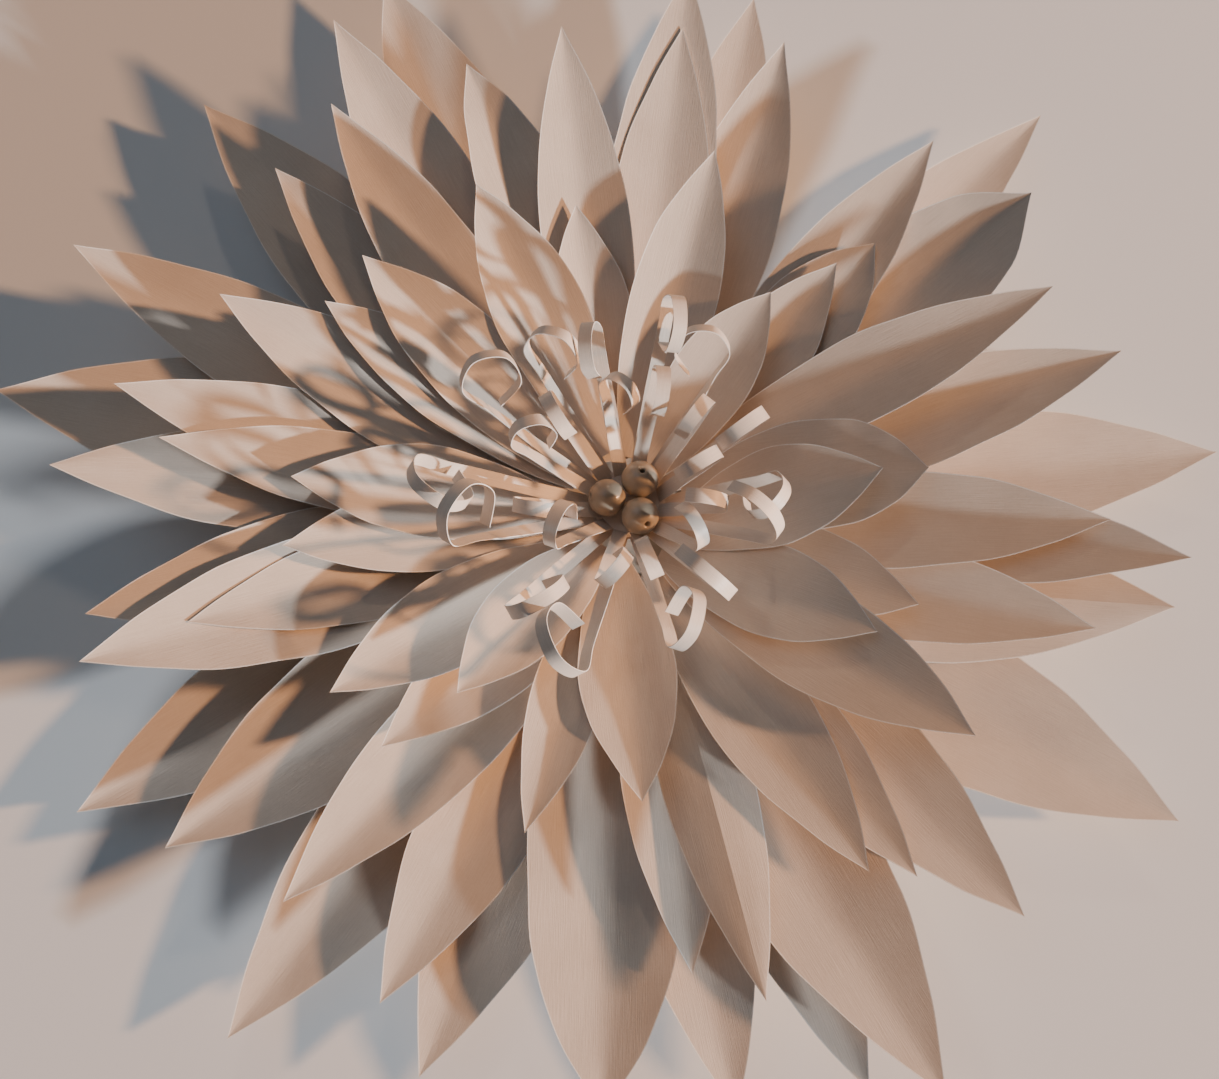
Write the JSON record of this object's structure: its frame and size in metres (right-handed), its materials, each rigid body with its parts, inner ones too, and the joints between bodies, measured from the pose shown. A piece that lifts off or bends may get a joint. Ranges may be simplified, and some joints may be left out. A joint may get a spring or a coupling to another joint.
{
  "type": "giant paper flower",
  "caption": "Large layered flower of creased ivory card petals glued in rows on a round backing disc, with curled paper fringe strips and pearl beads at its centre.",
  "frame": {"origin": "middle of the backing disc's underside", "axes": "+Z out of the flower's face, away from the backing disc; +Y towards the top of the picture and +X towards its right"},
  "size_m": [0.4964, 0.4778, 0.0931],
  "materials": {
    "petal_card": "uncoated ivory cardstock, matt, fine fibre grain",
    "fringe_paper": "uncoated ivory cardstock strips, matt with a faint sheen on the curls",
    "backing_card": "plain stiff card, matt",
    "bead_pearl": "pearl-coated plastic, taupe, glossy"
  },
  "bodies": {
    "root": {"backing_disc": "backing_card", "bead_1": "bead_pearl", "bead_2": "bead_pearl", "bead_3": "bead_pearl", "curled_fringe_lower": "fringe_paper", "curled_fringe_upper": "fringe_paper", "petal_001": "petal_card", "petal_002": "petal_card", "petal_003": "petal_card", "petal_004": "petal_card", "petal_005": "petal_card", "petal_007": "petal_card", "petal_008": "petal_card", "petal_010": "petal_card", "petal_011": "petal_card", "petal_012": "petal_card", "petal_013": "petal_card", "petal_014": "petal_card", "petal_015": "petal_card", "petal_018": "petal_card", "petal_019": "petal_card", "petal_021": "petal_card", "petal_022": "petal_card", "petal_023": "petal_card", "petal_024": "petal_card", "petal_025": "petal_card", "petal_027": "petal_card", "petal_028": "petal_card", "petal_029": "petal_card", "petal_030": "petal_card", "petal_031": "petal_card", "petal_032": "petal_card", "petal_033": "petal_card", "petal_034": "petal_card", "petal_035": "petal_card", "petal_036": "petal_card", "petal_037": "petal_card", "petal_039": "petal_card", "petal_040": "petal_card", "petal_041": "petal_card", "petal_042": "petal_card", "petal_044": "petal_card", "petal_045": "petal_card", "petal_047": "petal_card", "petal_048": "petal_card", "petal_049": "petal_card", "petal_050": "petal_card", "petal_051": "petal_card", "petal_052": "petal_card", "petal_053": "petal_card", "petal_054": "petal_card", "petal_055": "petal_card", "petal_056": "petal_card", "petal_057": "petal_card", "petal_058": "petal_card", "petal_059": "petal_card", "petal_061": "petal_card", "petal_062": "petal_card", "petal_063": "petal_card", "petal_064": "petal_card"}
  },
  "joints": []
}
